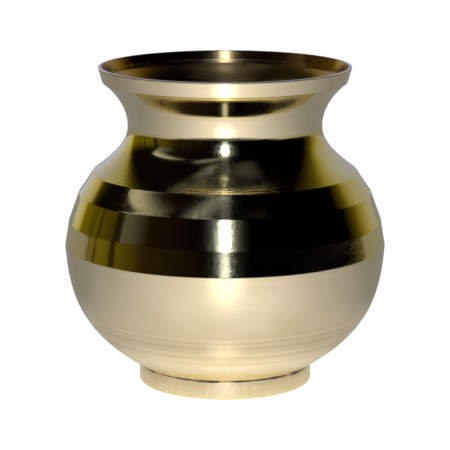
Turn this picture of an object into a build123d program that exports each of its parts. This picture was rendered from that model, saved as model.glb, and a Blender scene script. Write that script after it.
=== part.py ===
"""Brass kalash pot, built from lapped and brazed sheet pieces, in millimetres.

+Z is up, the origin is the centre of the foot's bottom face and -Y is the front.
Sections are drawn with X as the radius and Y as the height, then revolved about Z.
From the bottom up the pieces are foot ring, lower bowl, shoulder shell, neck collar
and rim band. Each one drops over a half-thick tongue on the piece below it, and a thin
film of braze fills the stepped gap between them.
"""

from build123d import *
import math
import os

# Wall and braze
wall = 1.3
braze_gap = 0.15

# Foot ring: a strip rolled into a hoop, with one upright butt joint
foot_radius = 30.3
foot_thickness = 2.2
foot_seat_height = 6.75
foot_edge_round = 0.8
foot_inner_round = 0.3
foot_joint_width = 0.2
foot_joint_azimuth = -64.0
foot_outer_fillet = 0.9
foot_inner_fillet = 0.7

# Lower bowl: a curve from the belly down to the foot, then a shallow round into a flat floor.
# Each curve leaves its ends along the lines to one corner point, and its two pulls say how far
# towards that corner it is drawn.
belly_radius = 56.0
belly_height = 49.0
belly_tuck = 1.85
bowl_corner_drop = 27.9
foot_pull = 0.847
belly_pull = 0.652
floor_clearance = 3.2

# Shoulder shell: straight turned facets, each a lean from vertical and a length,
# then one hollow curve up to the throat
facets = [(9.4, 8.8), (20.0, 10.3), (33.7, 8.85)]
throat_radius = 33.8
shoulder_rise = 16.18
shoulder_corner_drop = 7.2
shoulder_pull = 0.887
throat_low_pull = 0.557

# Neck collar: one flared curve from the throat to the corner under the rim band
rim_corner_radius = 42.45
flare_rise = 15.2
flare_corner_rise = 8.6
throat_high_pull = 0.695
flare_pull = 0.529

# Rim band
rim_lean = 16.0
rim_height = 5.25
lip_outer_round = 0.4
lip_inner_round = 0.25

# Height of the tongue at each seam
belly_lap = 4.0
throat_lap = 3.0
rim_lap = 2.0

half_wall = wall / 2
half_gap = braze_gap / 2


def lean_step(lean, length):
    """Step of `length` going upwards while leaning in from the vertical by `lean` degrees."""
    return Vector(-length * math.sin(math.radians(lean)), length * math.cos(math.radians(lean)))


# The corners of the outline, from the foot up to a point well over the lip
foot_point = Vector(foot_radius, foot_seat_height)
belly_point = Vector(belly_radius, belly_height)
bowl_corner = belly_point - Vector(belly_tuck, bowl_corner_drop)
facet_points = [belly_point]
for facet_lean, facet_length in facets:
    facet_points.append(facet_points[-1] + lean_step(facet_lean, facet_length))
throat_height = facet_points[-1].Y + shoulder_rise
throat_point = Vector(throat_radius, throat_height)
shoulder_corner = throat_point - Vector(0, shoulder_corner_drop)
flare_corner = throat_point + Vector(0, flare_corner_rise)
rim_corner_height = throat_height + flare_rise
rim_corner = Vector(rim_corner_radius, rim_corner_height)
lip_height = rim_corner_height + rim_height
over_lip = rim_corner + lean_step(-rim_lean, 3 * rim_height)
reach = 2 * max(belly_radius, lip_height)

outline_corners = [
    foot_point,
    bowl_corner,
    *facet_points,
    shoulder_corner,
    throat_point,
    flare_corner,
    rim_corner,
    over_lip,
]
lean_pairs = zip(outline_corners, outline_corners[1:])
outline_leans = [math.degrees(math.atan2(low.X - high.X, high.Y - low.Y)) for low, high in lean_pairs]

# The floor round is tangent to the bowl's curve at the foot and to the flat floor
foot_lean = math.radians(-outline_leans[0])
floor_round = (foot_seat_height - floor_clearance) / (1 - math.sin(foot_lean))
floor_flat_radius = foot_radius - floor_round * math.cos(foot_lean)


def inset_corners(depth):
    """The outline's corners moved `depth` inwards, square to the runs on both sides of each."""
    leans = [outline_leans[0], *outline_leans, outline_leans[-1]]
    moved = []
    for corner, below, above in zip(outline_corners, leans, leans[1:]):
        half_turn = math.radians(above - below) / 2
        moved.append(corner + lean_step((below + above) / 2 + 90, depth / math.cos(half_turn)))
    return moved


def pulled_curve(start, corner, end, start_pull, end_pull):
    """Curve from start to end, drawn from each end towards the corner by its pull."""
    Bezier(start, start + (corner - start) * start_pull, end + (corner - end) * end_pull, end)


def core(depth):
    """Section of everything inside the surface that lies `depth` under the outer skin.

    It runs on past the lip, so that a cut made with it is open at the mouth.
    """
    foot, low_corner, *edges, high_corner, throat, neck_corner, rim, top = inset_corners(depth)
    floor_centre = Vector(0, floor_clearance + depth)
    floor_edge = Vector(floor_flat_radius, floor_clearance + depth)
    with BuildSketch() as section:
        with BuildLine():
            Line(floor_centre, floor_edge)
            RadiusArc(floor_edge, foot, depth - floor_round)
            pulled_curve(foot, low_corner, edges[0], foot_pull, belly_pull)
            Polyline(*edges)
            pulled_curve(edges[-1], high_corner, throat, shoulder_pull, throat_low_pull)
            pulled_curve(throat, neck_corner, rim, throat_high_pull, flare_pull)
            Polyline(rim, top, (0, top.Y), floor_centre)
        make_face()
    return section.sketch


outer_core = core(0)
inner_core = core(wall)
tongue_core = core(half_wall + half_gap)
socket_core = core(half_wall - half_gap)


def wall_band(low, high, outside, inside):
    """Section between two heights and between two of the nested surfaces."""
    with BuildSketch() as section:
        with Locations((0, low)):
            Rectangle(reach, high - low, align=(Align.MIN, Align.MIN))
        add(outside, mode=Mode.INTERSECT)
        add(inside, mode=Mode.SUBTRACT)
    return section.sketch


def body_section(lower_seam, lower_lap, upper_seam, upper_lap):
    """Section of a wall piece: its socket over the piece below and its tongue into the one above."""
    low = lower_seam + half_gap
    high = upper_seam - half_gap
    with BuildSketch() as section:
        add(wall_band(low, high, outer_core, inner_core))
        if lower_lap:
            add(wall_band(low, low + lower_lap, socket_core, inner_core), mode=Mode.SUBTRACT)
        if upper_lap:
            add(wall_band(high, high + upper_lap, tongue_core, inner_core))
    return section.sketch


def braze_section(seam, lap):
    """Section of the braze film that fills one stepped seam."""
    low = seam - half_gap
    high = seam + half_gap
    with BuildSketch() as section:
        add(wall_band(low, high, outer_core, tongue_core))
        add(wall_band(low, high + lap, socket_core, tongue_core))
        add(wall_band(low + lap, high + lap, socket_core, inner_core))
    return section.sketch


os.makedirs("parts", exist_ok=True)


def save(piece, label):
    """Label a finished piece and write its file."""
    piece.part.label = label
    export_step(piece.part, f"parts/{label}.step")


# ---- Foot ring and the braze in its butt joint. The seat on the ring's top is the bowl's own
# underside, set one braze gap lower.

foot_inner_radius = foot_radius - foot_thickness

with BuildSketch() as foot_section:
    with Locations((foot_inner_radius, 0)):
        Rectangle(foot_thickness, foot_seat_height + foot_thickness, align=(Align.MIN, Align.MIN))
    with Locations((0, -braze_gap)):
        add(outer_core, mode=Mode.SUBTRACT)
    bottom_corners = foot_section.vertices().group_by(Axis.Y)[0].sort_by(Axis.X)
    fillet(bottom_corners[0], foot_inner_round)
    fillet(bottom_corners[-1], foot_edge_round)


def joint_plane(azimuth):
    """Upright plane through the axis, with its X pointing outwards at the given azimuth."""
    outwards = Vector(math.cos(math.radians(azimuth)), math.sin(math.radians(azimuth)), 0)
    return Plane(origin=(0, 0, 0), x_dir=outwards, z_dir=outwards.cross(Vector(0, 0, 1)))


foot_joint_angle = math.degrees(foot_joint_width / foot_radius)

with BuildPart() as foot_ring:
    with BuildSketch(joint_plane(foot_joint_azimuth + foot_joint_angle)):
        add(foot_section.sketch)
    revolve(axis=Axis.Z, revolution_arc=360 - foot_joint_angle)
save(foot_ring, "foot_ring")

with BuildPart() as foot_strip_braze:
    with BuildSketch(joint_plane(foot_joint_azimuth)):
        add(foot_section.sketch)
    revolve(axis=Axis.Z, revolution_arc=foot_joint_angle)
save(foot_strip_braze, "foot_strip_braze")


# ---- Braze between the foot ring and the bowl: a film in the seat and a fillet on each side

foot_tangent = lean_step(outline_leans[0], foot_outer_fillet)
seat_rise = math.sqrt(floor_round**2 - (foot_inner_radius - floor_flat_radius) ** 2)
inner_seat_height = floor_clearance + floor_round - seat_rise

with BuildPart() as foot_braze:
    with BuildSketch(Plane.XZ):
        with Locations((foot_inner_radius, 0)):
            Rectangle(foot_thickness, foot_seat_height + foot_thickness, align=(Align.MIN, Align.MIN))
        with Locations((0, -braze_gap)):
            add(outer_core, mode=Mode.INTERSECT)
        with BuildLine():
            Polyline(
                (foot_radius, foot_seat_height - foot_outer_fillet),
                foot_point + foot_tangent,
                (foot_radius, foot_seat_height + foot_tangent.Y),
                close=True,
            )
        make_face()
        with BuildLine():
            Polyline(
                (foot_inner_radius, inner_seat_height - foot_inner_fillet),
                (foot_inner_radius - foot_inner_fillet, inner_seat_height),
                (foot_inner_radius, inner_seat_height),
                close=True,
            )
        make_face()
        add(outer_core, mode=Mode.SUBTRACT)
    revolve(axis=Axis.Z)
save(foot_braze, "foot_braze")


# ---- Bowl, shoulder, collar and rim band

with BuildPart() as lower_bowl:
    with BuildSketch(Plane.XZ):
        add(body_section(-reach, 0, belly_height, belly_lap))
    revolve(axis=Axis.Z)
save(lower_bowl, "lower_bowl")

with BuildPart() as shoulder_shell:
    with BuildSketch(Plane.XZ):
        add(body_section(belly_height, belly_lap, throat_height, throat_lap))
    revolve(axis=Axis.Z)
save(shoulder_shell, "shoulder_shell")

with BuildPart() as neck_collar:
    with BuildSketch(Plane.XZ):
        add(body_section(throat_height, throat_lap, rim_corner_height, rim_lap))
    revolve(axis=Axis.Z)
save(neck_collar, "neck_collar")

with BuildPart() as rim_band:
    with BuildSketch(Plane.XZ) as rim_section:
        add(body_section(rim_corner_height, rim_lap, lip_height + half_gap, 0))
        lip_corners = rim_section.vertices().group_by(Axis.Y)[-1].sort_by(Axis.X)
        fillet(lip_corners[0], lip_inner_round)
        fillet(lip_corners[-1], lip_outer_round)
    revolve(axis=Axis.Z)
save(rim_band, "rim_band")


# ---- Braze films in the three body seams

with BuildPart() as belly_braze:
    with BuildSketch(Plane.XZ):
        add(braze_section(belly_height, belly_lap))
    revolve(axis=Axis.Z)
save(belly_braze, "belly_braze")

with BuildPart() as neck_braze:
    with BuildSketch(Plane.XZ):
        add(braze_section(throat_height, throat_lap))
    revolve(axis=Axis.Z)
save(neck_braze, "neck_braze")

with BuildPart() as rim_braze:
    with BuildSketch(Plane.XZ):
        add(braze_section(rim_corner_height, rim_lap))
    revolve(axis=Axis.Z)
save(rim_braze, "rim_braze")
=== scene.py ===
"""Looks of the brass kalash pot, in metres, in the frame of its CAD model.

Every piece is turned about the pot's upright axis: a section of (radius, height) points is
carried round it. The sections follow the CAD's own outline at the CAD's own depths, so each
surface lies where its node lies. -Y is the front.
"""
import math

import bpy
import numpy as np
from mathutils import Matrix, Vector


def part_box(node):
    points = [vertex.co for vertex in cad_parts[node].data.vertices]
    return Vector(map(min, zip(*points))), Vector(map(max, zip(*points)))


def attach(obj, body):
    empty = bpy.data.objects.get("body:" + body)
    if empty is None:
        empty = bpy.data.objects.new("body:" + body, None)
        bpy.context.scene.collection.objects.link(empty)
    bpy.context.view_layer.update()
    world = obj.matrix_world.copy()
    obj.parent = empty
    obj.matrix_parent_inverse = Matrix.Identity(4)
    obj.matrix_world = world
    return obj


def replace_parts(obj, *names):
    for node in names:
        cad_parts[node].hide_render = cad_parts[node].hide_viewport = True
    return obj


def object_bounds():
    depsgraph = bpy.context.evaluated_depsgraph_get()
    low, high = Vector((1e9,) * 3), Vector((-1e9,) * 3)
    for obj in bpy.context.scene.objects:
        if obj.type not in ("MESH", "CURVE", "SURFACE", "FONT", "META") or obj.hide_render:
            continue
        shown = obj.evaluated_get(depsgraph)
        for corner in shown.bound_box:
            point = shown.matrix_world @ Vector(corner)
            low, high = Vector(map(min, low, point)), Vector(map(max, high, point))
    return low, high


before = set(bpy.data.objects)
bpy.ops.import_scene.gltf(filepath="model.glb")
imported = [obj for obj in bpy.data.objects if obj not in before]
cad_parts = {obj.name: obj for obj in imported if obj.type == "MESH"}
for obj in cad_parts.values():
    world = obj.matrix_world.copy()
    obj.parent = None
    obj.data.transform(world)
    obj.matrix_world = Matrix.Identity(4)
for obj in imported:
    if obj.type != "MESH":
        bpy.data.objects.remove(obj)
cad_low, cad_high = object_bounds()

MM = 0.001

# ---- Sizes read from the CAD nodes

braze_gap = 0.15 * MM
half_gap = braze_gap / 2
foot_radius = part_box("foot_ring")[1].y
belly_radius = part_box("belly_braze")[1].x
belly_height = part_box("shoulder_shell")[0].z - half_gap
throat_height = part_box("neck_collar")[0].z - half_gap
rim_corner_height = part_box("rim_band")[0].z - half_gap
lip_height = cad_high.z
floor_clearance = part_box("lower_bowl")[0].z

# ---- Sizes that no box gives, as the CAD has them

wall = 1.3 * MM
throat_radius = 33.8 * MM
foot_thickness = 2.2 * MM
foot_seat_height = 6.75 * MM
foot_edge_round = 0.8 * MM
foot_inner_round = 0.3 * MM
foot_joint_width = 0.2 * MM
foot_joint_azimuth = math.radians(-64.0)
foot_outer_fillet = 0.9 * MM
foot_inner_fillet = 0.7 * MM
belly_tuck = 1.85 * MM
bowl_corner_drop = 27.9 * MM
# A pull is the share of the way from a curve's end to its corner.
foot_pull, belly_pull = 0.847, 0.652
# Each facet's lean from the vertical in degrees, and its length.
facets = [(9.4, 8.8 * MM), (20.0, 10.3 * MM), (33.7, 8.85 * MM)]
shoulder_corner_drop = 7.2 * MM
shoulder_pull, throat_low_pull = 0.887, 0.557
rim_corner_radius = 42.45 * MM
flare_corner_rise = 8.6 * MM
throat_high_pull, flare_pull = 0.695, 0.529
rim_lean_degrees = 16.0
rim_run = 16 * MM  # goes past the lip, where the section is cut
lip_outer_round = 0.4 * MM
lip_inner_round = 0.25 * MM
belly_lap, throat_lap, rim_lap = 4.0 * MM, 3.0 * MM, 2.0 * MM

half_wall = wall / 2
tongue_depth = half_wall + half_gap
socket_depth = half_wall - half_gap

# ---- Sizes of the finish

edge_ease = 0.25 * MM
facet_hollows = [0.03 * MM, 0.03 * MM, 0.10 * MM]
turns = 288
# Height, depth and half width of each turned ring; a negative depth stands proud.
skin_rings = [
    (76.9 * MM, 0.004 * MM, 0.16 * MM),
    (76.1 * MM, 0.006 * MM, 0.14 * MM),
    (75.3 * MM, 0.006 * MM, 0.12 * MM),
    (26.6 * MM, -0.035 * MM, 0.24 * MM),
    (25.3 * MM, 0.030 * MM, 0.28 * MM),
    (23.3 * MM, 0.025 * MM, 0.75 * MM),
    (20.7 * MM, -0.045 * MM, 0.26 * MM),
    (19.1 * MM, 0.035 * MM, 0.30 * MM),
    (16.2 * MM, 0.016 * MM, 0.45 * MM),
    (12.4 * MM, 0.030 * MM, 0.30 * MM),
    (11.3 * MM, 0.022 * MM, 0.22 * MM),
]
# The bead's sizes are shares of the full fillet. A wave that goes n times round the pot swings by
# bead_swing over n to the power bead_swing_fall.
bead_seed, bead_waves = 7, (5, 9, 16, 27, 44)
bead_swing, bead_swing_fall = 0.16, 0.35
bead_usual, bead_least, bead_most, bead_thick = 0.42, 0.2, 0.75, 0.45
bead_thick_azimuth, bead_thick_spread = math.radians(-42.0), math.radians(14.0)
dent_seed, dent_waves = 11, (47, 61, 83, 107)
dent_height, dent_half_height, dent_depth = 107.6 * MM, 0.55 * MM, 0.035 * MM
dent_azimuth, dent_spread = math.radians(122.0), math.radians(26.0)
dent_elsewhere = 0.25
chatter_height = 14.3 * MM


# ---- The outline, as arrays of (radius, height)

def lean_step(lean, length):
    """Step of `length` going upwards while leaning in from the vertical by `lean` degrees."""
    return length * np.array([-math.sin(math.radians(lean)), math.cos(math.radians(lean))])


facet_points = [np.array([belly_radius, belly_height])]
for facet_lean, facet_length in facets:
    facet_points.append(facet_points[-1] + lean_step(facet_lean, facet_length))
throat_point = np.array([throat_radius, throat_height])
rim_corner = np.array([rim_corner_radius, rim_corner_height])
outline_corners = np.array([
    [foot_radius, foot_seat_height],
    facet_points[0] - [belly_tuck, bowl_corner_drop],
    *facet_points,
    throat_point - [0, shoulder_corner_drop],
    throat_point,
    throat_point + [0, flare_corner_rise],
    rim_corner,
    rim_corner + lean_step(-rim_lean_degrees, rim_run),
])
outline_steps = np.diff(outline_corners, axis=0)
outline_leans = np.arctan2(-outline_steps[:, 0], outline_steps[:, 1])
foot_lean = -outline_leans[0]
floor_round = (foot_seat_height - floor_clearance) / (1 - math.sin(foot_lean))
floor_flat_radius = foot_radius - floor_round * math.cos(foot_lean)


def inset_corners(depth):
    """The corners moved inwards along their halfway normals, by depth over the half turn's cosine."""
    below = np.append(outline_leans[0], outline_leans)
    above = np.append(outline_leans, outline_leans[-1])
    middle = (below + above) / 2
    shift = depth / np.cos((above - below) / 2)
    return outline_corners - shift[:, None] * np.stack([np.cos(middle), np.sin(middle)], axis=1)


def pulled_curve(start, corner, end, start_pull, end_pull, steps):
    """Cubic Bezier whose inner control points lie from each end towards the corner, by the pulls.

    `steps` is a number of even steps, or the shares themselves.
    """
    t = (steps if isinstance(steps, np.ndarray) else np.linspace(0, 1, steps + 1))[:, None]
    near_start = start + (corner - start) * start_pull
    near_end = end + (corner - end) * end_pull
    return (1 - t)**3 * start + 3 * (1 - t)**2 * t * near_start + 3 * (1 - t) * t**2 * near_end + t**3 * end


def facet(start, end, hollow, steps=8):
    """Straight run, pressed inwards along its normal by a parabola that is `hollow` deep."""
    t = np.linspace(0, 1, steps + 1)[:, None]
    along = (end - start) / np.linalg.norm(end - start)
    inwards = np.array([-along[1], along[0]])
    return start + (end - start) * t + inwards * hollow * 4 * t * (1 - t)


def eased(below, above):
    """Two runs that share a corner, as one; within edge_ease of the corner it follows a parabola."""
    corner = above[0]
    before = corner + edge_ease * (below[-2] - corner) / np.linalg.norm(below[-2] - corner)
    after = corner + edge_ease * (above[1] - corner) / np.linalg.norm(above[1] - corner)
    t = np.linspace(0, 1, 7)[:, None]
    bend = (1 - t)**2 * before + 2 * (1 - t) * t * corner + t**2 * after
    return np.concatenate([below[:-1], bend, above[1:]])


def pressed_rings(line, rings):
    """Line pressed inwards along its normal by a bell curve at each ring."""
    step = np.gradient(line, axis=0)
    step /= np.linalg.norm(step, axis=1)[:, None]
    inwards = np.stack([-step[:, 1], step[:, 0]], axis=1)
    height, depth, width = (np.array(values)[:, None] for values in zip(*rings))
    press = (depth * np.exp(-((line[:, 1] - height) / width)**2)).sum(axis=0)
    return line + inwards * press[:, None]


def two_paces(split, below, above):
    """Shares from 0 to 1, with `below` even steps up to the split and `above` even steps after it."""
    return np.concatenate([np.linspace(0, split, below + 1)[:-1], np.linspace(split, 1, above + 1)])


def outline(depth, hollows=(0.0, 0.0, 0.0), rings=None):
    """The whole line at a depth under the skin.

    It runs up from the axis: flat floor, floor round, bowl, facets, shoulder, flare and rim. With
    rings, the steps are fine where the rings are.
    """
    foot, low_corner, *edges, high_corner, throat, neck_corner, rim, top = inset_corners(depth)
    angles = np.linspace(-math.pi / 2, -foot_lean, 13)[:-1, None]
    centre = np.array([floor_flat_radius, floor_clearance + floor_round])
    floor_arc = centre + (floor_round - depth) * np.concatenate([np.cos(angles), np.sin(angles)], axis=1)
    floor_share = np.linspace(0, 1, 9)[:-1, None]
    floor_line = np.array([0, floor_clearance + depth]) + floor_share * [floor_flat_radius, 0]
    steps = two_paces(0.5, 140, 40) if rings else 70
    line = pulled_curve(foot, low_corner, edges[0], foot_pull, belly_pull, steps)
    line = np.concatenate([floor_line, floor_arc, line])
    for low_edge, high_edge, hollow in zip(edges, edges[1:], hollows):
        line = eased(line, facet(low_edge, high_edge, hollow))
    steps = two_paces(0.12, 40, 40) if rings else 40
    line = eased(line, pulled_curve(edges[-1], high_corner, throat, shoulder_pull, throat_low_pull, steps))
    flare = pulled_curve(throat, neck_corner, rim, throat_high_pull, flare_pull, 40)
    line = np.concatenate([line, flare[1:]])
    line = eased(line, facet(rim, top, 0.0, 64))
    return pressed_rings(line, rings) if rings else line


outer_line = outline(0.0, facet_hollows, skin_rings)
tongue_line = outline(tongue_depth)
socket_line = outline(socket_depth)
inner_line = outline(wall)


# ---- Sections: closed loops that run up the outside and down the inside.
# Their third column is 1 on the inside wall and 0 elsewhere.

def between(line, low, high, inside=0.0):
    """The part of a rising line between two heights; at or under the floor it starts on the axis."""
    kept = line[(line[:, 1] > low) & (line[:, 1] < high)]
    if low > line[0, 1]:
        kept = np.concatenate([[[np.interp(low, line[:, 1], line[:, 0]), low]], kept])
    kept = np.concatenate([kept, [[np.interp(high, line[:, 1], line[:, 0]), high]]])
    return np.column_stack([kept, np.full(len(kept), inside)])


def body_section(low, lower_lap, high, upper_lap):
    """Wall piece: outside, tongue going up, inside coming down, then the socket over the piece below."""
    runs = [between(outer_line, low, high)]
    if upper_lap:
        runs.append(between(tongue_line, high, high + upper_lap))
    runs.append(between(inner_line, low + lower_lap, high + upper_lap, 1.0)[::-1])
    if lower_lap:
        runs.append(between(socket_line, low, low + lower_lap)[::-1])
    return np.concatenate(runs)


def braze_section(seam, lap):
    """Stepped film: a flush band outside, the film up the lap, and a flush band inside."""
    low, high = seam - half_gap, seam + half_gap
    return np.concatenate([
        between(outer_line, low, high),
        between(socket_line, high, high + lap),
        between(inner_line, low + lap, high + lap, 1.0)[::-1],
        between(tongue_line, low, low + lap)[::-1],
    ])


def corner_arc(before, corner, after, radius, steps=5):
    """Round of a corner: the arc that touches both legs, turned from one leg's contact to the other's."""
    to_before = (before - corner) / np.linalg.norm(before - corner)
    to_after = (after - corner) / np.linalg.norm(after - corner)
    half_angle = math.acos(np.dot(to_before, to_after)) / 2
    leg = radius / math.tan(half_angle)
    bisector = (to_before + to_after) / np.linalg.norm(to_before + to_after)
    centre = corner + bisector * radius / math.sin(half_angle)
    first = (corner + to_before * leg - centre) / radius
    last = (corner + to_after * leg - centre) / radius
    turn = math.pi - 2 * half_angle
    t = np.linspace(0, 1, steps + 1)[:, None]
    return centre + radius * (np.sin((1 - t) * turn) * first + np.sin(t * turn) * last) / math.sin(turn)


def with_column(points, inside):
    """Points with the inside column added."""
    return np.column_stack([points, np.full(len(points), inside)])


def rim_section():
    """Rim band: its wall section with the two corners of the lip rounded."""
    section = body_section(rim_corner_height + half_gap, rim_lap, lip_height, 0)
    outside = section[section[:, 2] == 0][:, :2]
    top = int(np.argmax(outside[:, 1]))
    rise, socket = outside[:top + 1], outside[top + 1:]
    fall = section[section[:, 2] == 1][:, :2]
    outer_round = corner_arc(rise[-2], rise[-1], fall[0], lip_outer_round)
    inner_round = corner_arc(rise[-1], fall[0], fall[1], lip_inner_round)
    return np.concatenate([
        with_column(rise[:-1], 0.0),
        with_column(outer_round, 0.0),
        with_column(inner_round, 1.0),
        with_column(fall[1:], 1.0),
        with_column(socket, 0.0),
    ])


# ---- Turning a section into a mesh

def ring_faces(count, rings, wraps):
    """Quads between neighbouring points i, i+1 of a section and neighbouring azimuths j, j+1."""
    i = np.arange(count if wraps else count - 1)
    j = np.arange(rings[0])
    i, j = (a.ravel() for a in np.meshgrid(i, j))
    next_i, next_j = (i + 1) % count, (j + 1) % rings[1]
    return np.stack([j * count + i, next_j * count + i, next_j * count + next_i, j * count + next_i], axis=1)


def turned(name, section, material, spread=None, arc=None):
    """Piece made by carrying a section round the axis.

    Section point (r, z) at azimuth a goes to (r cos a, r sin a, z). `spread` may first change r and z
    by azimuth. A section that starts on the axis is closed by a fan at each of its two poles. `arc`
    is (start, end) for a piece that doesn't go all the way round, whose two ends are capped.
    """
    kept = np.linalg.norm(np.diff(section[:, :2], axis=0, append=section[:1, :2]), axis=1) > 1e-7
    kept[-1] = True
    section = section[kept]
    has_poles = section[0, 0] < 1e-9
    poles = section[[0, -1]] if has_poles else section[:0]
    rings = section[1:-1] if has_poles else section
    count = len(rings)
    if arc:
        azimuths = np.linspace(arc[0], arc[1], max(2, round(turns * (arc[1] - arc[0]) / math.tau) + 1))
    else:
        azimuths = np.linspace(0, math.tau, turns, endpoint=False)
    angle = azimuths[:, None]
    radius = np.broadcast_to(rings[:, 0], (len(azimuths), count))
    height = np.broadcast_to(rings[:, 1], (len(azimuths), count))
    if spread:
        radius, height = spread(radius, height, angle, rings[:, 2])
    points = np.stack([radius * np.cos(angle), radius * np.sin(angle), height], axis=2).reshape(-1, 3)
    pole_points = np.column_stack([poles[:, 0], poles[:, 0], poles[:, 1]])
    bands = (len(azimuths) - 1 if arc else len(azimuths), len(azimuths))
    faces = ring_faces(count, bands, not has_poles).tolist()
    if has_poles:
        j = np.arange(len(azimuths))
        next_j = (j + 1) % len(azimuths)
        low_pole, high_pole = len(points), len(points) + 1
        last = count - 1
        low_fan = np.stack([np.full_like(j, low_pole), next_j * count, j * count], axis=1)
        high_fan = np.stack([j * count + last, next_j * count + last, np.full_like(j, high_pole)], axis=1)
        faces += low_fan.tolist() + high_fan.tolist()
    if arc:
        faces.append(list(range(count)))
        faces.append(list(range(len(points) - 1, len(points) - 1 - count, -1)))
    mesh = bpy.data.meshes.new(name)
    mesh.from_pydata(np.concatenate([points, pole_points]), [], faces)
    inside = np.concatenate([np.tile(rings[:, 2], len(azimuths)), poles[:, 2]])
    mesh.attributes.new("inside", "FLOAT", "POINT").data.foreach_set("value", inside.astype(np.float32))
    mark_sharp(mesh, rings, len(points), has_poles, bool(arc))
    mesh.materials.append(material)
    piece = bpy.data.objects.new(name, mesh)
    bpy.context.scene.collection.objects.link(piece)
    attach(piece, "root")
    return piece


def mark_sharp(mesh, rings, point_count, has_poles, capped, limit=math.radians(24)):
    """Shades the mesh smooth, but leaves sharp each ring where the section turns by more than the limit."""
    count = len(rings)
    step = np.diff(rings[:, :2], axis=0, append=rings[:1, :2])
    heading = np.arctan2(step[:, 1], step[:, 0])
    turn = np.abs((heading - np.roll(heading, 1) + math.pi) % math.tau - math.pi)
    if has_poles:
        turn[[0, -1]] = 0
    ends = np.empty(len(mesh.edges) * 2, np.int32)
    mesh.edges.foreach_get("vertices", ends)
    ends = ends.reshape(-1, 2)
    same_ring = (ends[:, 0] % count == ends[:, 1] % count) & (ends.max(axis=1) < point_count)
    sharp = same_ring & (turn[ends[:, 0] % count] > limit)
    if capped:
        sharp |= (ends.max(axis=1) < count) | (ends.min(axis=1) >= point_count - count)
    mesh.polygons.foreach_set("use_smooth", np.ones(len(mesh.polygons), bool))
    mesh.attributes.new("sharp_edge", "BOOLEAN", "EDGE").data.foreach_set("value", sharp)


# ---- Material helpers

def add(tree, kind, inputs=None, **settings):
    """Adds one node. Each input is a constant, or another node's output to link."""
    made = tree.nodes.new(kind)
    for key, value in settings.items():
        setattr(made, key, value)
    for key, value in (inputs or {}).items():
        if isinstance(value, bpy.types.NodeSocket):
            tree.links.new(value, made.inputs[key])
        else:
            made.inputs[key].default_value = value
    return made


def maths(tree, operation, *values, clamp=False):
    """Output of a math node on up to three values."""
    made = add(tree, "ShaderNodeMath", dict(enumerate(values)), operation=operation, use_clamp=clamp)
    return made.outputs[0]


def product(tree, *values):
    """Output of math nodes that multiply any number of values."""
    total = values[0]
    for value in values[1:]:
        total = maths(tree, "MULTIPLY", total, value)
    return total


def apart_from(tree, value, centre):
    """How far a value is from a centre, either way."""
    return maths(tree, "ABSOLUTE", maths(tree, "SUBTRACT", value, centre))


def bell(tree, value, width):
    """Bell curve: e to the minus square of value over width."""
    square = maths(tree, "POWER", maths(tree, "DIVIDE", value, width), 2.0)
    return maths(tree, "EXPONENT", maths(tree, "MULTIPLY", square, -1.0))


def ramp(tree, value, stops):
    """Colour of an even ramp whose stops are (position, colour)."""
    made = add(tree, "ShaderNodeValToRGB", {"Fac": value})
    made.color_ramp.interpolation = "LINEAR"
    elements = made.color_ramp.elements
    while len(elements) < len(stops):
        elements.new(0.5)
    for element, (position, colour) in zip(elements, stops):
        element.position = position
        element.color = (*colour, 1.0)
    return made.outputs["Color"]


def grey_ramp(tree, value, stops):
    """Ramp of plain brightness whose stops are (position, brightness)."""
    return ramp(tree, value, [(position, (level, level, level)) for position, level in stops])


def span(tree, value, low, high, to_low, to_high):
    """Value carried from one range to another by an S-shaped step, held at both ends."""
    sockets = {"Value": value, "From Min": low, "From Max": high, "To Min": to_low, "To Max": to_high}
    return add(tree, "ShaderNodeMapRange", sockets, interpolation_type="SMOOTHSTEP").outputs["Result"]


def blend(tree, share, first, second, kind="MIX"):
    """Colour mixed from two by a share."""
    made = add(tree, "ShaderNodeMix", data_type="RGBA", blend_type=kind)
    for key, value in ((0, share), (6, first), (7, second)):
        if isinstance(value, bpy.types.NodeSocket):
            tree.links.new(value, made.inputs[key])
        else:
            made.inputs[key].default_value = value if key == 0 else (*value, 1.0)
    return made.outputs[2]


def tinted(tree, colour, level):
    """Colour times a brightness."""
    return blend(tree, 1.0, colour, level, "MULTIPLY")


def place_axes(tree):
    """X, Y and Z of the shaded place in the piece's own coordinates."""
    place = add(tree, "ShaderNodeTexCoord").outputs["Object"]
    return add(tree, "ShaderNodeSeparateXYZ", {0: place}).outputs


def new_material(name):
    """Material with an empty tree but for its shader and output."""
    material = bpy.data.materials.new(name)
    material.use_nodes = True
    tree = material.node_tree
    tree.nodes.clear()
    shader = add(tree, "ShaderNodeBsdfPrincipled")
    add(tree, "ShaderNodeOutputMaterial", {"Surface": shader.outputs["BSDF"]})
    return material, tree, shader


def ring_noise(tree, outwards, round_scale, rise_scale, detail=2.0, roughness=0.6):
    """Noise drawn out into rings.

    It is fine up the section, by z plus outwards times radius, and slow round it.
    """
    axes = place_axes(tree)
    squares = maths(tree, "ADD", maths(tree, "POWER", axes[0], 2.0), maths(tree, "POWER", axes[1], 2.0))
    radius = maths(tree, "POWER", squares, 0.5)
    rise = maths(tree, "MULTIPLY_ADD", radius, outwards, axes[2])
    vector = add(tree, "ShaderNodeCombineXYZ", {
        0: maths(tree, "MULTIPLY", axes[0], round_scale),
        1: maths(tree, "MULTIPLY", axes[1], round_scale),
        2: maths(tree, "MULTIPLY", rise, rise_scale),
    }).outputs[0]
    sockets = {"Vector": vector, "Scale": 1.0, "Detail": detail, "Roughness": roughness}
    return add(tree, "ShaderNodeTexNoise", sockets).outputs["Fac"]


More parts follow.
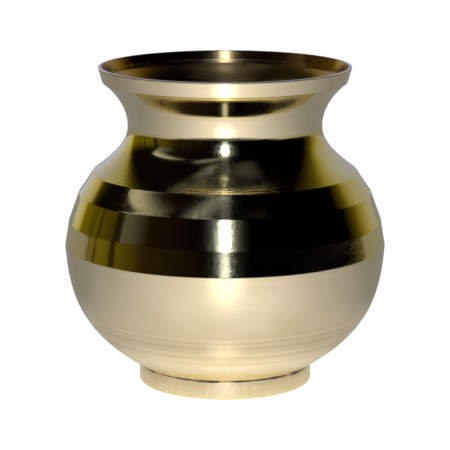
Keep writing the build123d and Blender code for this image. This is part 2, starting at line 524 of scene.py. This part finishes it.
def cloud_noise(tree, scale, detail=3.0):
    """Plain noise on the piece's own place, for patches with no direction."""
    place = add(tree, "ShaderNodeTexCoord").outputs["Object"]
    sockets = {"Vector": place, "Scale": scale, "Detail": detail}
    return add(tree, "ShaderNodeTexNoise", sockets).outputs["Fac"]


def bumped(tree, height, distance, under=None):
    """Normal of a surface raised by height times distance, over another normal if one is given."""
    sockets = {"Height": height, "Distance": distance, "Strength": 1.0}
    if under:
        sockets["Normal"] = under
    return add(tree, "ShaderNodeBump", sockets).outputs["Normal"]


def inside_share(tree):
    """1 on a piece's inside wall and 0 elsewhere."""
    return add(tree, "ShaderNodeAttribute", attribute_name="inside").outputs["Fac"]


def polish_round(tree, shader, anisotropy):
    """Gloss that is drawn out across the turning marks, which run round the axis."""
    tangent = add(tree, "ShaderNodeTangent", direction_type="RADIAL", axis="Z").outputs["Tangent"]
    tree.links.new(tangent, shader.inputs["Tangent"])
    shader.inputs["Anisotropic"].default_value = anisotropy
    shader.inputs["Anisotropic Rotation"].default_value = 0.25


# ---- Materials

satin_inside, mirror_inside = (0.62, 0.38, 0.13), (0.58, 0.38, 0.15)
# The scuffs are paler than the sheet: a painted highlight where they glint.
scuff_glint_colour, chatter_colour = (0.98, 0.86, 0.60), (1.0, 0.93, 0.76)


def mirror_brass():
    """Shoulder: polished on the lathe, with turning marks and a scatter of duller specks."""
    material, tree, shader = new_material("mirror_brass")
    rings = ring_noise(tree, -1.0, 20.0, 2200.0)
    hair = ring_noise(tree, -1.0, 90.0, 9000.0, 3.0, 0.7)
    clouds = cloud_noise(tree, 60.0)
    specks = span(tree, cloud_noise(tree, 2400.0, 2.0), 0.50, 0.66, 0, 1)
    colour = blend(tree, span(tree, clouds, 0.3, 0.7, 0, 1), (0.90, 0.76, 0.33), (0.93, 0.79, 0.37))
    colour = blend(tree, inside_share(tree), colour, mirror_inside)
    fine = maths(tree, "MULTIPLY_ADD", hair, 0.05, 0.015)
    fine = maths(tree, "MULTIPLY_ADD", specks, 0.08, fine)
    tree.links.new(colour, shader.inputs["Base Color"])
    tree.links.new(maths(tree, "MULTIPLY_ADD", inside_share(tree), 0.35, fine), shader.inputs["Roughness"])
    grain = bumped(tree, rings, 0.003 * MM)
    grain = bumped(tree, specks, 0.0035 * MM, grain)
    tree.links.new(bumped(tree, hair, 0.0008 * MM, grain), shader.inputs["Normal"])
    shader.inputs["Metallic"].default_value = 1.0
    polish_round(tree, shader, 0.7)
    return material


def ring_shade_and_highlight(tree):
    """Painted shade and painted highlight on the bowl by height: darker in each pressed ring and lighter on
    each proud one.
    """
    low, high = 10 * MM, 30 * MM
    usual_tone, most_change, full_depth = 0.93, 0.14, 0.035 * MM
    stops = []
    for ring_height, depth, width in sorted(ring for ring in skin_rings if ring[0] < high):
        painted_ring_level = usual_tone - most_change * math.copysign(min(1.0, abs(depth) / full_depth), depth)
        for offset, level in ((-1.3, usual_tone), (0.0, painted_ring_level), (1.3, usual_tone)):
            stops.append(((ring_height + offset * width - low) / (high - low), level))
    share = maths(tree, "DIVIDE", maths(tree, "SUBTRACT", place_axes(tree)[2], low), high - low)
    return grey_ramp(tree, share, sorted(stops))


def chatter_share(tree):
    """Row of short upright tool marks low on the front of the bowl."""
    axes = place_axes(tree)
    row = span(tree, apart_from(tree, axes[2], chatter_height), 0.3 * MM, 0.9 * MM, 1.0, 0.0)
    middle = span(tree, maths(tree, "ABSOLUTE", axes[0]), 4 * MM, 9 * MM, 1.0, 0.0)
    front = span(tree, axes[1], -20 * MM, -10 * MM, 1.0, 0.0)
    marks = span(tree, ring_noise(tree, 0.0, 1500.0, 120.0, 1.0), 0.46, 0.58, 0.0, 1.0)
    return product(tree, row, marks, middle, front)


def scuff_and_glint_share(tree):
    """Row of scuffs with painted glints round the back left of the rim's inside, broken up by azimuth."""
    axes = place_axes(tree)
    row = span(tree, apart_from(tree, axes[2], dent_height), 0.2 * MM, 0.9 * MM, 1.0, 0.0)
    spots = span(tree, ring_noise(tree, 0.0, 620.0, 700.0, 1.0), 0.46, 0.62, 0.0, 1.0)
    left = span(tree, axes[0], -6 * MM, 2 * MM, 1.0, 0.12)
    back = span(tree, axes[1], 18 * MM, 26 * MM, 0.0, 1.0)
    return product(tree, row, spots, left, back, inside_share(tree))


def satin_brass(name, base_roughness, ring_depth, inside_roughness, ringed=False, scuffed_with_glints=False):
    """Bowl, collar or rim: satin turned, cloudy, with rings of finer and coarser cut.

    `inside_roughness` is added on the inside wall, which is browner too. The bowl is ringed: painted
    shade darkens its colour in each pressed ring and a painted highlight lightens it on each proud one.
    The rim is scuffed inside, and its scuffs are painted paler as a painted highlight where they glint.
    """
    material, tree, shader = new_material(name)
    rings = ring_noise(tree, 1.0, 12.0, 2000.0)
    broad = ring_noise(tree, 1.0, 8.0, 500.0)
    hair = ring_noise(tree, 1.0, 60.0, 8000.0, 3.0, 0.7)
    clouds = cloud_noise(tree, 45.0)
    plain, ringed_tones = ((0.84, 0.725, 0.48), (0.91, 0.79, 0.56)), ((0.90, 0.775, 0.51), (0.98, 0.85, 0.60))
    darker, lighter = ringed_tones if ringed else plain
    colour = blend(tree, span(tree, clouds, 0.3, 0.7, 0, 1), darker, lighter)
    colour = blend(tree, span(tree, broad, 0.35, 0.65, 0, 0.25), colour, darker)
    if ringed:
        # Painted shade in the pressed rings and a painted highlight on the proud ones.
        colour = tinted(tree, colour, ring_shade_and_highlight(tree))
        colour = blend(tree, product(tree, chatter_share(tree), 0.7), colour, chatter_colour)
    colour = blend(tree, inside_share(tree), colour, satin_inside)
    roughness = maths(tree, "MULTIPLY_ADD", broad, 0.06, base_roughness)
    roughness = maths(tree, "MULTIPLY_ADD", hair, 0.08, roughness)
    roughness = maths(tree, "MULTIPLY_ADD", inside_share(tree), inside_roughness, roughness)
    if scuffed_with_glints:
        share = scuff_and_glint_share(tree)
        # Paler colour on the scuffs is a painted highlight where they glint; their roughness and bump are
        # real.
        colour = blend(tree, share, colour, scuff_glint_colour)
        roughness = maths(tree, "MULTIPLY_ADD", share, 0.3, roughness)
    tree.links.new(colour, shader.inputs["Base Color"])
    tree.links.new(roughness, shader.inputs["Roughness"])
    grain = bumped(tree, hair, 0.002 * MM)
    if scuffed_with_glints:
        grain = bumped(tree, share, 0.4 * MM, grain)
    tree.links.new(bumped(tree, rings, ring_depth, grain), shader.inputs["Normal"])
    shader.inputs["Metallic"].default_value = 1.0
    polish_round(tree, shader, 0.6)
    return material


def foot_brass():
    """Foot ring: turned satin with a faint upright grain, paler and darker in patches."""
    material, tree, shader = new_material("foot_brass")
    rings = ring_noise(tree, 1.0, 12.0, 900.0)
    grain = ring_noise(tree, 0.0, 1500.0, 90.0)
    clouds = cloud_noise(tree, 120.0, 4.0)
    colour = blend(tree, span(tree, clouds, 0.35, 0.65, 0, 1), (0.92, 0.79, 0.50), (0.99, 0.86, 0.60))
    colour = blend(tree, span(tree, grain, 0.35, 0.65, 0, 0.35), colour, (0.86, 0.70, 0.44))
    tree.links.new(colour, shader.inputs["Base Color"])
    roughness = maths(tree, "MULTIPLY_ADD", rings, 0.1, 0.22)
    tree.links.new(maths(tree, "MULTIPLY_ADD", grain, 0.12, roughness), shader.inputs["Roughness"])
    uneven = bumped(tree, rings, 0.006 * MM)
    tree.links.new(bumped(tree, grain, 0.006 * MM, uneven), shader.inputs["Normal"])
    shader.inputs["Metallic"].default_value = 1.0
    polish_round(tree, shader, 0.75)
    return material


def skimmed_braze():
    """Braze skimmed flush with the wall: brass, a little redder and duller than the sheet."""
    material, tree, shader = new_material("skimmed_braze")
    grains = cloud_noise(tree, 400.0)
    colour = blend(tree, span(tree, grains, 0.3, 0.7, 0, 1), (0.80, 0.64, 0.34), (0.90, 0.76, 0.46))
    tree.links.new(colour, shader.inputs["Base Color"])
    tree.links.new(maths(tree, "MULTIPLY_ADD", grains, 0.2, 0.2), shader.inputs["Roughness"])
    shader.inputs["Metallic"].default_value = 1.0
    return material


def stained_braze():
    """Braze left as it flowed: brass in places, under brown to black flux stain."""
    material, tree, shader = new_material("stained_braze")
    patches = cloud_noise(tree, 220.0, 5.0)
    colour = ramp(tree, patches, [
        (0.0, (0.02, 0.015, 0.009)),
        (0.42, (0.06, 0.045, 0.02)),
        (0.56, (0.26, 0.18, 0.07)),
        (0.70, (0.60, 0.46, 0.24)),
    ])
    tree.links.new(colour, shader.inputs["Base Color"])
    tree.links.new(span(tree, patches, 0.4, 0.8, 0.75, 0.4), shader.inputs["Roughness"])
    tree.links.new(bumped(tree, cloud_noise(tree, 1500.0), 0.04 * MM), shader.inputs["Normal"])
    tree.links.new(span(tree, patches, 0.45, 0.7, 0.2, 1.0), shader.inputs["Metallic"])
    return material


# ---- Pieces

mirror = mirror_brass()
satin = satin_brass("satin_brass", 0.12, 0.014 * MM, 0.2, ringed=True)
collar_satin = satin_brass("bright_satin_brass", -0.03, 0.007 * MM, 0.22)
fine_satin = satin_brass("fine_satin_brass", 0.0, 0.012 * MM, 0.13, scuffed_with_glints=True)
foot_finish = foot_brass()
skimmed = skimmed_braze()
stained = stained_braze()


def build_body():
    """Bowl, shoulder, collar and rim band, with the flush braze films between them."""
    bowl = turned("bowl", body_section(-1.0, 0, belly_height - half_gap, belly_lap), satin)
    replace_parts(bowl, "lower_bowl")
    shoulder_low, shoulder_high = belly_height + half_gap, throat_height - half_gap
    shoulder_loop = body_section(shoulder_low, belly_lap, shoulder_high, throat_lap)
    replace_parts(turned("shoulder", shoulder_loop, mirror), "shoulder_shell")
    collar_low, collar_high = throat_height + half_gap, rim_corner_height - half_gap
    collar_loop = body_section(collar_low, throat_lap, collar_high, rim_lap)
    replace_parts(turned("collar", collar_loop, collar_satin), "neck_collar")
    rim = turned("rim", rim_section(), fine_satin, spread=dented)
    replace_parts(rim, "rim_band")
    for seam, lap, node in (
        (belly_height, belly_lap, "belly_braze"),
        (throat_height, throat_lap, "neck_braze"),
        (rim_corner_height, rim_lap, "rim_braze"),
    ):
        film = turned(node + "_film", braze_section(seam, lap), skimmed)
        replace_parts(film, node)


def seat_line():
    """The bowl's underside over the foot ring's wall, from the ring's inner face to its outer one."""
    radii = np.linspace(foot_radius - foot_thickness, foot_radius, 9)
    widening = outer_line[outer_line[:, 1] < belly_height / 2]
    return np.column_stack([radii, np.interp(radii, widening[:, 0], widening[:, 1])])


def foot_section():
    """Foot ring: rounded bottom corners, upright faces and a top that follows the bowl one gap lower."""
    inner_radius = foot_radius - foot_thickness
    seat = seat_line() - [0, braze_gap]
    low_outer, low_inner = np.array([foot_radius, 0.0]), np.array([inner_radius, 0.0])
    outer_round = corner_arc(low_inner, low_outer, seat[-1], foot_edge_round)
    inner_round = corner_arc(seat[0], low_inner, low_outer, foot_inner_round)
    return with_column(np.concatenate([outer_round, seat[::-1], inner_round]), 0.0)


def hollow_fillet(start, corner, end, steps=6):
    """Quadratic Bezier whose control point lies three quarters of the way from its middle to the corner."""
    t = np.linspace(0, 1, steps + 1)[:, None]
    pull = corner + 0.25 * ((start + end) / 2 - corner)
    return (1 - t)**2 * start + 2 * (1 - t) * t * pull + t**2 * end


def bead_section():
    """Foot braze: outer fillet up to the bowl, seat film inwards, inner fillet, and back over the foot."""
    inner_radius = foot_radius - foot_thickness
    seat = seat_line()
    outer_corner, inner_corner = seat[-1], seat[0]
    slope = lean_step(math.degrees(outline_leans[0]), 1.0)
    seat_slope = (seat[0] - seat[1]) / np.linalg.norm(seat[0] - seat[1])
    outer = hollow_fillet(
        outer_corner - [0, foot_outer_fillet], outer_corner, outer_corner + slope * foot_outer_fillet)
    inner = hollow_fillet(
        inner_corner + seat_slope * foot_inner_fillet, inner_corner, inner_corner - [0, foot_inner_fillet])
    top = seat - [0, braze_gap]
    return with_column(np.concatenate([outer, seat[::-1][1:-1], inner, top]), 0.0)


def uneven_bead(radius, height, angle, inside):
    """Outer fillet scaled about its corner by azimuth: a sum of sines, plus a bell at its thick place."""
    draws = np.random.default_rng(bead_seed)
    size = np.full_like(angle, bead_usual)
    for count in bead_waves:
        size = size + bead_swing / count**bead_swing_fall * np.sin(count * angle + draws.uniform(0, math.tau))
    from_thick = (angle - bead_thick_azimuth + math.pi) % math.tau - math.pi
    size = np.clip(size, bead_least, bead_most) + bead_thick * np.exp(-(from_thick / bead_thick_spread)**2)
    is_outer = radius >= foot_radius - 0.001 * MM
    share = np.where(is_outer, size, 1.0)
    corner_height = seat_line()[-1, 1]
    return foot_radius + (radius - foot_radius) * share, corner_height + (height - corner_height) * share


def dented(radius, height, angle, inside):
    """Row of small dents round the rim's inside: a sum of sines by azimuth within a bell by height.

    They are deepest at the back left and shallow elsewhere.
    """
    draws = np.random.default_rng(dent_seed)
    waves = [np.sin(count * angle + draws.uniform(0, math.tau)) for count in dent_waves]
    row = np.exp(-((height - dent_height) / dent_half_height)**2) * (inside > 0.5)
    strength = dent_elsewhere + (1 - dent_elsewhere) * np.exp(-((angle - dent_azimuth) / dent_spread)**2)
    return radius + dent_depth * sum(waves) / len(waves) * row * strength, height


def build_foot():
    """Foot ring, the braze in its upright joint, and the braze that holds the ring to the bowl."""
    joint_angle = foot_joint_width / foot_radius
    joint_end = foot_joint_azimuth + joint_angle
    ring_arc = (joint_end, foot_joint_azimuth + math.tau)
    ring = turned("foot", foot_section(), foot_finish, arc=ring_arc)
    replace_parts(ring, "foot_ring")
    strip = turned("foot_joint", foot_section(), skimmed, arc=(foot_joint_azimuth, joint_end))
    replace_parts(strip, "foot_strip_braze")
    bead = turned("foot_bead", bead_section(), stained, spread=uneven_bead)
    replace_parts(bead, "foot_braze")


build_body()
build_foot()


# ---- Stage: white floor and surroundings for the camera, a lit table and a dark room for the gloss

floor_drop = 0.0002
floor_reach = 8.0
table_front, table_side, table_back = -0.38, 0.9, 1.4
lamp_distance = 1.2
lamp_centre_height = 0.06
lamp_half_width = 0.42
lamp_foot, lamp_top = math.radians(-4.0), math.radians(112.0)
map_edge = math.radians(110.0)
card_corner = (-0.517, -0.088)
posts = [(-88.0, 2.6), (-107.0, 1.1), (-114.5, 0.6), (-118.5, 0.6)]  # azimuth, half width, in degrees


def stage_mesh(name, points, faces, shader_tree):
    """Stage mesh whose material tree is made by a function."""
    mesh = bpy.data.meshes.new(name)
    mesh.from_pydata(points, [], faces)
    material = bpy.data.materials.new(name)
    material.use_nodes = True
    material.node_tree.nodes.clear()
    shader_tree(material.node_tree)
    mesh.materials.append(material)
    sheet = bpy.data.objects.new(name, mesh)
    bpy.context.scene.collection.objects.link(sheet)
    return sheet


def flat_sheet(name, side, front, back, shader_tree):
    """Level stage sheet just under the pot, from -side to side in x and from front to back in y."""
    corners = [(-side, front), (side, front), (side, back), (-side, back)]
    points = [(x, y, -floor_drop) for x, y in corners]
    return stage_mesh(name, points, [[0, 1, 2, 3]], shader_tree)


def only_in_gloss(sheet):
    """Shows a stage sheet in reflections only."""
    sheet.visible_camera = False
    sheet.visible_diffuse = False
    sheet.visible_shadow = False


def floor_tree(tree):
    """Near-white glow with a share of plain diffuse, so that only a faint contact shadow shows."""
    glow = add(tree, "ShaderNodeEmission", {"Color": (1, 1, 1, 1), "Strength": 0.98})
    matte = add(tree, "ShaderNodeBsdfDiffuse", {"Color": (0.8, 0.8, 0.8, 1)})
    both = add(tree, "ShaderNodeAddShader", {0: glow.outputs[0], 1: matte.outputs[0]})
    add(tree, "ShaderNodeOutputMaterial", {"Surface": both.outputs[0]})


def table_tree(tree):
    """White table, brightest straight ahead of the pot and dimmer round to its back.

    The brightness goes by azimuth from the front, as a share of a half turn, and by distance from
    the axis. A bright stripe runs ahead, strong further out and weak near the foot. The table right
    at the foot is brighter and warmer than the ring round it.
    """
    axes = place_axes(tree)
    flat = add(tree, "ShaderNodeCombineXYZ", {0: axes[0], 1: axes[1]}).outputs[0]
    distance = add(tree, "ShaderNodeVectorMath", {0: flat}, operation="LENGTH").outputs["Value"]
    azimuth = maths(tree, "ARCTAN2", axes[0], maths(tree, "MULTIPLY", axes[1], -1.0))
    turn = maths(tree, "DIVIDE", maths(tree, "ABSOLUTE", azimuth), math.pi)
    away = grey_ramp(tree, turn, [
        (0.0, 1.02), (0.12, 0.94), (0.18, 0.80), (0.28, 0.61),
        (0.40, 0.45), (0.53, 0.33), (0.64, 0.27), (1.0, 0.26),
    ])
    close = grey_ramp(tree, turn, [
        (0.0, 0.82), (0.10, 0.77), (0.24, 0.65), (0.35, 0.55), (0.52, 0.45), (0.72, 0.46), (1.0, 0.46),
    ])
    base = blend(tree, span(tree, distance, 0.055, 0.12, 0, 1), close, away)
    ahead = bell(tree, turn, 0.05)
    far_stripe = product(tree, ahead, span(tree, distance, 0.09, 0.18, 0.0, 1.1))
    near_start = span(tree, distance, 0.041, 0.048, 0.0, 1.0)
    near_end = span(tree, distance, 0.050, 0.062, 0.4, 0.0)
    near_stripe = product(tree, ahead, near_start, near_end)
    at_foot = span(tree, distance, 0.036, 0.050, 1.42, 1.0)
    total = maths(tree, "ADD", maths(tree, "ADD", base, far_stripe), near_stripe)
    strength = product(tree, total, at_foot)
    colour = blend(tree, span(tree, distance, 0.035, 0.11, 1, 0), (1.0, 0.99, 0.96), (1.0, 0.95, 0.82))
    glow = add(tree, "ShaderNodeEmission", {"Color": colour, "Strength": strength})
    add(tree, "ShaderNodeOutputMaterial", {"Surface": glow.outputs[0]})


def lamp_tree(tree):
    """Tall lamp: a bright core with soft sides that the room behind shows through.

    It is dim at its foot, strong above that, weak higher up, and has a spot overhead.
    """
    axes = place_axes(tree)
    aside = maths(tree, "DIVIDE", maths(tree, "ABSOLUTE", axes[0]), lamp_distance)
    rise = maths(tree, "SUBTRACT", axes[2], lamp_centre_height)
    climb = maths(tree, "ARCTAN2", rise, maths(tree, "MULTIPLY", axes[1], -1.0))
    core = span(tree, aside, 0.02, 0.08, 6.0, 0.0)
    falling = maths(tree, "EXPONENT", maths(tree, "DIVIDE", aside, -0.062))
    sides = product(tree, falling, 0.8, span(tree, aside, 0.16, 0.32, 1.0, 0.0))
    height = grey_ramp(tree, maths(tree, "DIVIDE", climb, lamp_top), [
        (0.0, 0.12), (0.055, 0.15), (0.085, 1.0), (0.31, 1.0), (0.37, 0.22), (0.46, 0.02), (0.56, 0.012),
        (0.70, 0.008), (0.775, 0.004), (0.785, 0.9), (0.796, 0.9), (0.806, 0.02), (0.87, 0.02), (0.91, 0.0),
    ])
    strength = product(tree, maths(tree, "ADD", core, sides), height)
    glow = add(tree, "ShaderNodeEmission", {"Color": (0.83, 1.0, 1.55, 1), "Strength": strength})
    clear = add(tree, "ShaderNodeBsdfTransparent")
    both = add(tree, "ShaderNodeAddShader", {0: glow.outputs[0], 1: clear.outputs[0]})
    add(tree, "ShaderNodeOutputMaterial", {"Surface": both.outputs[0]})


def lamp_arch():
    """Band of the tall lamp: width straight across, and an arc from low in front to past overhead."""
    across = np.linspace(-lamp_half_width, lamp_half_width, 5)
    climb = np.linspace(lamp_foot, lamp_top, 60)
    x, angle = np.meshgrid(across, climb)
    y = -lamp_distance * np.cos(angle)
    z = lamp_centre_height + lamp_distance * np.sin(angle)
    points = np.stack([x, y, z], axis=2)
    faces = ring_faces(len(across), (len(climb) - 1, len(climb)), False)
    return stage_mesh("front_lamp", points.reshape(-1, 3), faces.tolist(), lamp_tree)


def build_stage():
    """Floor, table and lamp."""
    floor = flat_sheet("floor", floor_reach, -floor_reach, floor_reach, floor_tree)
    floor.visible_glossy = False
    only_in_gloss(flat_sheet("table_glow", table_side, table_front, table_back, table_tree))
    only_in_gloss(lamp_arch())


# The room is laid out on a flat map of directions. The point overhead is the middle of the map,
# `out` grows evenly from there down, `east` is its share to the right and `front` to the front.

def sideways(tree, east, front, place, towards):
    """Distance on the map from a place, measured towards a direction."""
    offset = -place[0] * towards[0] - place[1] * towards[1]
    along = maths(tree, "MULTIPLY_ADD", east, towards[0], offset)
    return maths(tree, "MULTIPLY_ADD", front, towards[1], along)


def pale_wall(tree, east, front, out):
    """The room behind: black, then olive, then pale, by how far back a direction lies on the map.

    On the right it begins evenly; on the left it begins further back and more sharply.
    """
    back = maths(tree, "MULTIPLY", front, -1.0)
    right = maths(tree, "DIVIDE", maths(tree, "SUBTRACT", back, 0.17), span(tree, out, 0.6, 0.85, 1.0, 1.75))
    past = sideways(tree, east, front, (0.0, -0.075), (0.75, -1.0))
    sharp = maths(tree, "MULTIPLY_ADD", past, 2.4, 0.08)
    left = maths(tree, "MINIMUM", sharp, maths(tree, "MULTIPLY_ADD", past, 0.7, 0.17))
    side = span(tree, east, -0.15, 0.15, 0.0, 1.0)
    from_right = product(tree, right, side)
    from_left = product(tree, left, maths(tree, "SUBTRACT", 1.0, side))
    share = maths(tree, "ADD", from_right, from_left, clamp=True)
    return ramp(tree, share, [
        (0.0, (0.0, 0.0, 0.0)),
        (0.06, (0.03, 0.022, 0.0)),
        (0.11, (0.08, 0.065, 0.0)),
        (0.18, (0.25, 0.22, 0.05)),
        (0.25, (0.34, 0.33, 0.22)),
        (0.35, (0.36, 0.38, 0.45)),
        (0.55, (0.39, 0.43, 0.74)),
        (0.8, (0.42, 0.46, 0.90)),
    ])


def olive_wall(tree, east, front, out):
    """Low glow on the left, broken by upright dark posts; it dies away to the front."""
    low = span(tree, out, 0.60, 0.78, 0.0, 1.0)
    leftwards = span(tree, east, -0.3, -0.05, 1.0, 0.0)
    level = grey_ramp(tree, maths(tree, "MULTIPLY_ADD", front, 0.5, 0.5), [
        (0.20, 0.13), (0.40, 0.12), (0.485, 0.10), (0.56, 0.08),
        (0.625, 0.045), (0.69, 0.010), (0.80, 0.002), (1.0, 0.0),
    ])
    glow = product(tree, level, low, leftwards)
    turn = maths(tree, "ARCTAN2", east, front)
    for azimuth, half_width in posts:
        from_post = apart_from(tree, turn, math.radians(azimuth))
        inner_edge, outer_edge = math.radians(half_width * 0.7), math.radians(half_width * 1.5)
        glow = product(tree, glow, span(tree, from_post, inner_edge, outer_edge, 0.1, 1.0))
    haze = product(tree, span(tree, front, -0.3, 0.5, 0.004, 0.010), span(tree, east, -0.6, -0.04, 1.0, 0.0))
    olive, brown = tinted(tree, (1.0, 0.85, 0.0), glow), tinted(tree, (1.0, 0.55, 0.15), haze)
    return blend(tree, 1.0, olive, brown, "ADD")


def pale_card(tree, east, front, out):
    """Pale card up on the left: two sharp edges that meet in a corner, fading to the front and downwards."""
    upper_right = sideways(tree, east, front, card_corner, (-0.772, 0.635))
    upper_left = sideways(tree, east, front, card_corner, (0.743, 0.669))
    turn = maths(tree, "ARCTAN2", east, front)
    slant = sideways(tree, east, front, (0.0, 0.0), (-0.417, 0.909))
    near = grey_ramp(tree, slant, [
        (0.20, 1.0), (0.234, 0.71), (0.262, 0.41), (0.28, 0.18), (0.30, 0.05), (0.32, 0.0),
    ])
    far = span(tree, turn, math.radians(-92.0), math.radians(-58.0), 1.0, 0.0)
    fade = blend(tree, span(tree, out, 0.50, 0.62, 0.0, 1.0), near, far)
    level = grey_ramp(tree, out, [(0.0, 0.44), (0.50, 0.44), (0.60, 0.16), (0.66, 0.08), (0.72, 0.0)])
    right_edge = span(tree, upper_right, -0.006, 0.004, 0.0, 1.0)
    left_edge = span(tree, upper_left, -0.004, 0.008, 0.0, 1.0)
    return tinted(tree, (0.97, 0.97, 1.12), product(tree, fade, level, right_edge, left_edge))


def crumpled_sheen(tree, east, front, out):
    """Grey crumpled streaks overhead, left of the middle and, fainter, right of it."""
    place = add(tree, "ShaderNodeCombineXYZ", {0: maths(tree, "MULTIPLY", east, 2.0), 1: front}).outputs[0]
    sockets = {"Vector": place, "Scale": 26.0, "Detail": 4.0, "Roughness": 0.7, "Distortion": 0.8}
    folds = span(tree, add(tree, "ShaderNodeTexNoise", sockets).outputs["Fac"], 0.36, 0.62, 0.45, 1.5)
    streaks = []
    for centre, half_width, strength in ((-0.118, 0.060, 0.15), (0.08, 0.13, 0.05)):
        middle = maths(tree, "MULTIPLY_ADD", front, 0.25, centre)
        streaks.append(span(tree, apart_from(tree, east, middle), 0.0, half_width, strength, 0.0))
    back_end = span(tree, front, -0.20, -0.05, 0.0, 1.0)
    front_end = span(tree, front, 0.14, 0.28, 1.0, 0.0)
    upright = product(tree, maths(tree, "ADD", *streaks), back_end, front_end)
    across = maths(tree, "ABSOLUTE", sideways(tree, east, front, (-0.16, 0.245), (-0.62, 0.785)))
    slanted = span(tree, across, 0.0, 0.05, 0.20, 0.0)
    left_end = span(tree, east, -0.26, -0.16, 0.0, 1.0)
    right_end = span(tree, east, -0.05, 0.02, 1.0, 0.0)
    slanted = product(tree, slanted, left_end, right_end)
    return tinted(tree, (0.85, 0.95, 1.25), product(tree, maths(tree, "ADD", upright, slanted), folds))


def build_surroundings():
    """White for the camera; for the gloss, a dark room laid out on the map of directions."""
    world = bpy.data.worlds.new("surroundings")
    bpy.context.scene.world = world
    world.use_nodes = True
    tree = world.node_tree
    tree.nodes.clear()
    direction = add(tree, "ShaderNodeTexCoord").outputs["Generated"]
    axes = add(tree, "ShaderNodeSeparateXYZ", {0: direction}).outputs
    out = maths(tree, "DIVIDE", maths(tree, "ARCCOSINE", axes[2]), map_edge)
    flat = add(tree, "ShaderNodeCombineXYZ", {0: axes[0], 1: axes[1]}).outputs[0]
    flat = add(tree, "ShaderNodeVectorMath", {0: flat}, operation="NORMALIZE").outputs[0]
    flat_axes = add(tree, "ShaderNodeSeparateXYZ", {0: flat}).outputs
    east = maths(tree, "MULTIPLY", flat_axes[0], out)
    front = maths(tree, "MULTIPLY", maths(tree, "MULTIPLY", flat_axes[1], -1.0), out)
    room = pale_wall(tree, east, front, out)
    for part in (olive_wall, pale_card, crumpled_sheen):
        room = blend(tree, 1.0, room, part(tree, east, front, out), "ADD")
    dark = add(tree, "ShaderNodeBackground", {"Color": room, "Strength": 1.0})
    white = add(tree, "ShaderNodeBackground", {"Color": (1, 1, 1, 1), "Strength": 1.0})
    seen = add(tree, "ShaderNodeLightPath").outputs["Is Camera Ray"]
    either = add(tree, "ShaderNodeMixShader", {0: seen, 1: dark.outputs[0], 2: white.outputs[0]})
    add(tree, "ShaderNodeOutputWorld", {"Surface": either.outputs[0]})


camera_place = (0.0, -0.7122, 0.2042)
camera_pitch_down = math.radians(11.827)
camera_lens, camera_sensor = 165.88, 36.0


def build_camera():
    """Camera in front of the pot and a little above it."""
    camera = bpy.data.cameras.new("camera")
    camera.sensor_width = camera_sensor
    camera.lens = camera_lens
    camera.clip_start = 0.05
    camera.clip_end = 30.0
    holder = bpy.data.objects.new("camera", camera)
    holder.location = camera_place
    holder.rotation_euler = (math.pi / 2 - camera_pitch_down, 0, 0)
    bpy.context.scene.collection.objects.link(holder)
    bpy.context.scene.camera = holder


build_stage()
build_surroundings()
build_camera()
bpy.context.scene.view_settings.view_transform = "Standard"
